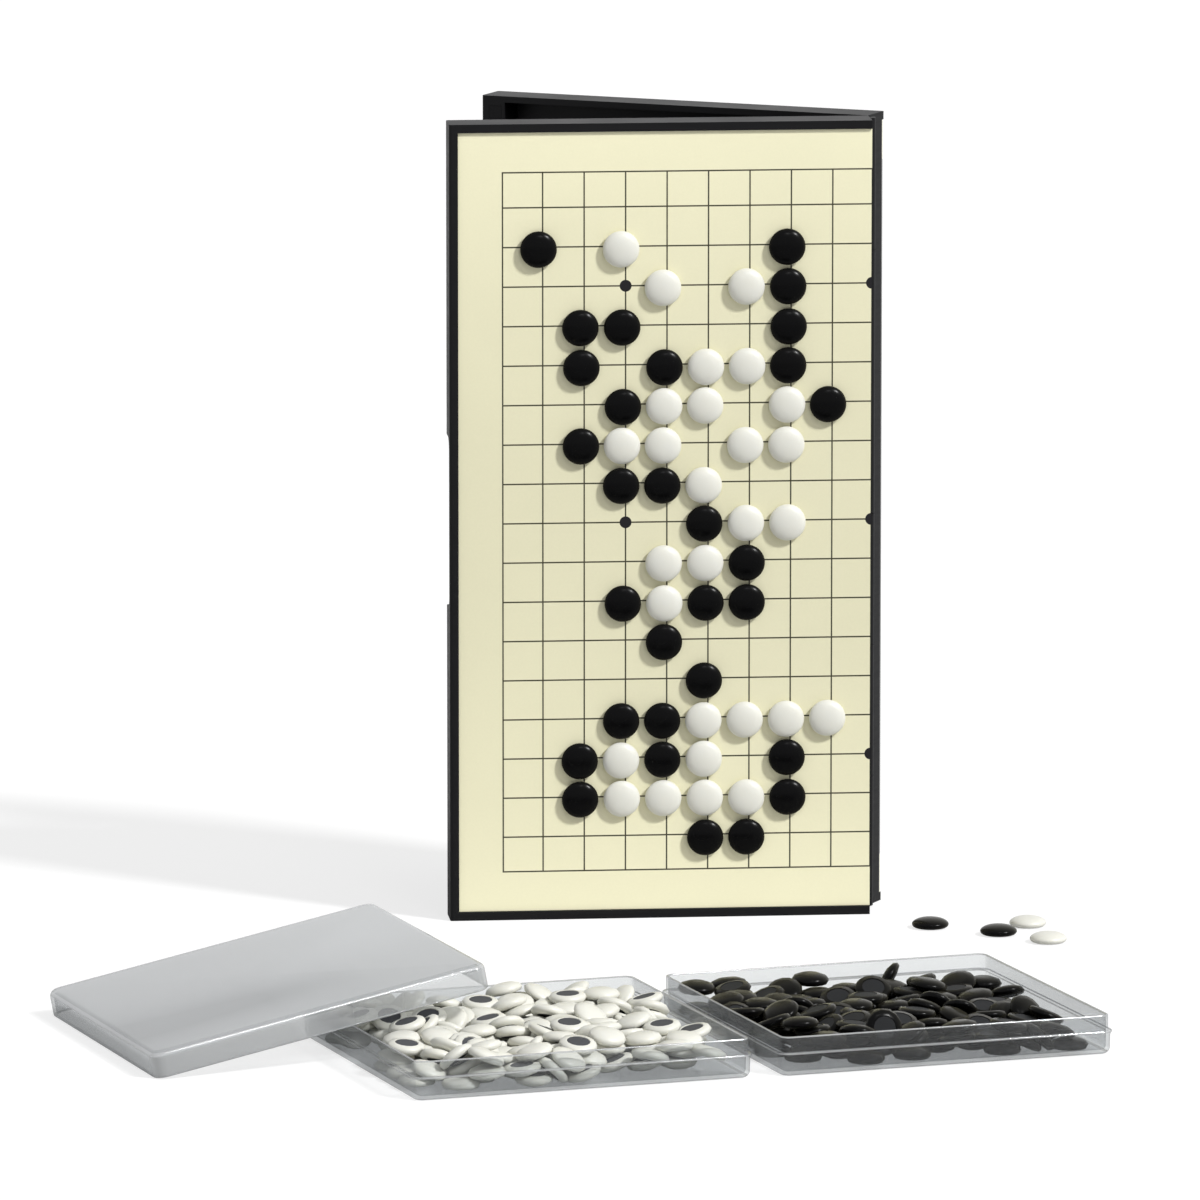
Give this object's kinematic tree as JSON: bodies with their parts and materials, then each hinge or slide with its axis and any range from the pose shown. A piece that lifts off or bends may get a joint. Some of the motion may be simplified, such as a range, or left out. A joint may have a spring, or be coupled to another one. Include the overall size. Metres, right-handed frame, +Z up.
{
  "type": "folding magnetic go set",
  "caption": "Folding magnetic go board stood open on its end, with black and white stones on its face, clear trays full of stones, a tray lid and loose stones on the table.",
  "frame": {"origin": "middle of the front half's foot, on the table", "axes": "+Z up; the front half's playing face looks towards -Y; +X runs from its free edge to the fold"},
  "size_m": [0.4446, 0.512, 0.349],
  "materials": {
    "case_plastic": "satin moulded black plastic",
    "playing_sheet": "printed cream sheet",
    "steel": "plain",
    "magnet": "dull grey ferrite",
    "black_stone": "satin",
    "white_stone": "satin",
    "clear_plastic": "clear moulded plastic"
  },
  "bodies": {
    "front_half": {"front_shell": "case_plastic", "front_playing_sheet": "playing_sheet", "front_steel_plate": "steel", "front_closing_magnets": "magnet", "hinge_pin": "steel"},
    "rear_half": {"rear_shell": "case_plastic", "rear_playing_sheet": "playing_sheet", "rear_steel_plate": "steel", "rear_closing_magnets": "magnet"},
    "black_board_stones": {"black_stones_on_board": "black_stone", "black_stone_magnets_on_board": "magnet"},
    "white_board_stones": {"white_stones_on_board": "white_stone", "white_stone_magnets_on_board": "magnet"},
    "white_tray_set": {"white_tray": "clear_plastic", "white_stones_in_tray": "white_stone"},
    "black_tray_set": {"black_tray": "clear_plastic", "black_stones_in_tray": "black_stone"},
    "lid": {"tray_lid": "clear_plastic"},
    "loose_black_stone_left_body": {"loose_black_stone_left": "black_stone", "loose_black_stone_left_magnet": "magnet"},
    "loose_black_stone_right_body": {"loose_black_stone_right": "black_stone", "loose_black_stone_right_magnet": "magnet"},
    "loose_white_stone_back_body": {"loose_white_stone_back": "white_stone", "loose_white_stone_back_magnet": "magnet"},
    "loose_white_stone_front_body": {"loose_white_stone_front": "white_stone", "loose_white_stone_front_magnet": "magnet"}
  },
  "joints": [
    {"name": "board_fold", "type": "hinge", "parent": "front_half", "child": "rear_half", "pos_m": [0.0919, 0.0089, 0], "axis": [0, 0, -1], "range_deg": [-28.8, 151.2]},
    {"name": "black_board_stones_off", "type": "slide", "parent": "front_half", "child": "black_board_stones", "axis": [0, -1, 0], "range_m": [0, 0.035]},
    {"name": "white_board_stones_off", "type": "slide", "parent": "front_half", "child": "white_board_stones", "axis": [0, -1, 0], "range_m": [0, 0.035]},
    {"name": "white_tray_lift", "type": "slide", "parent": "front_half", "child": "white_tray_set", "axis": [0, 0, 1], "range_m": [0, 0.06]},
    {"name": "lid_lift", "type": "slide", "parent": "white_tray_set", "child": "lid", "axis": [0, 0, 1], "range_m": [0, 0.06]},
    {"name": "black_tray_lift", "type": "slide", "parent": "front_half", "child": "black_tray_set", "axis": [0, 0, 1], "range_m": [0, 0.06]},
    {"name": "loose_black_stone_left_lift", "type": "slide", "parent": "front_half", "child": "loose_black_stone_left_body", "axis": [0, 0, 1], "range_m": [0, 0.04]},
    {"name": "loose_black_stone_right_lift", "type": "slide", "parent": "front_half", "child": "loose_black_stone_right_body", "axis": [0, 0, 1], "range_m": [0, 0.04]},
    {"name": "loose_white_stone_back_lift", "type": "slide", "parent": "front_half", "child": "loose_white_stone_back_body", "axis": [0, 0, 1], "range_m": [0, 0.04]},
    {"name": "loose_white_stone_front_lift", "type": "slide", "parent": "front_half", "child": "loose_white_stone_front_body", "axis": [0, 0, 1], "range_m": [0, 0.04]}
  ]
}
